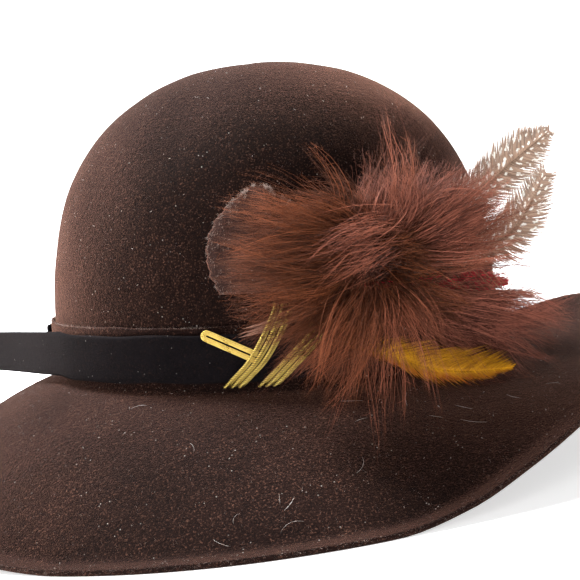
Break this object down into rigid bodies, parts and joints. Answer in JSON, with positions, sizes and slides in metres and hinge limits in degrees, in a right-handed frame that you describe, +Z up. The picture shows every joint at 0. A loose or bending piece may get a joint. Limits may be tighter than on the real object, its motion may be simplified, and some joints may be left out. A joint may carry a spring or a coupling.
{
  "type": "felt hat",
  "caption": "Woman's felt hat with a rounded crown, a bell-shaped brim turned up at the back, a dark strap with a free tail, and a feather plume bound on with gold cord.",
  "frame": {"origin": "middle of the hat's footprint, on the surface that it rests on", "axes": "+Z up, -X to the front of the hat, -Y to the wearer's left, where the plume is"},
  "size_m": [0.3592, 0.324, 0.1819],
  "materials": {
    "brown_felt": "soft nap, matt",
    "dark_felt": "soft nap, matt",
    "quill": "satin horn of bare quills",
    "gold_cord": "twisted metallic thread, shiny",
    "brown_down": "long soft barbs",
    "red_feather": "soft barbs",
    "speckled_feather": "brown and grey with pale dots",
    "golden_feather": "glossy barbs"
  },
  "bodies": {
    "root": {"felt_crown_and_brim": "brown_felt", "felt_base_band": "brown_felt", "felt_leaf": "brown_felt", "felt_strap": "dark_felt", "plume_stems": "quill", "gold_cord_wrap_front": "gold_cord", "gold_cord_wrap_back": "gold_cord", "gold_cord_loop": "gold_cord", "marabou_plume": "brown_down", "red_feather": "red_feather", "guinea_feather_front": "speckled_feather", "guinea_feather_back": "speckled_feather", "golden_feather": "golden_feather"}
  },
  "joints": []
}
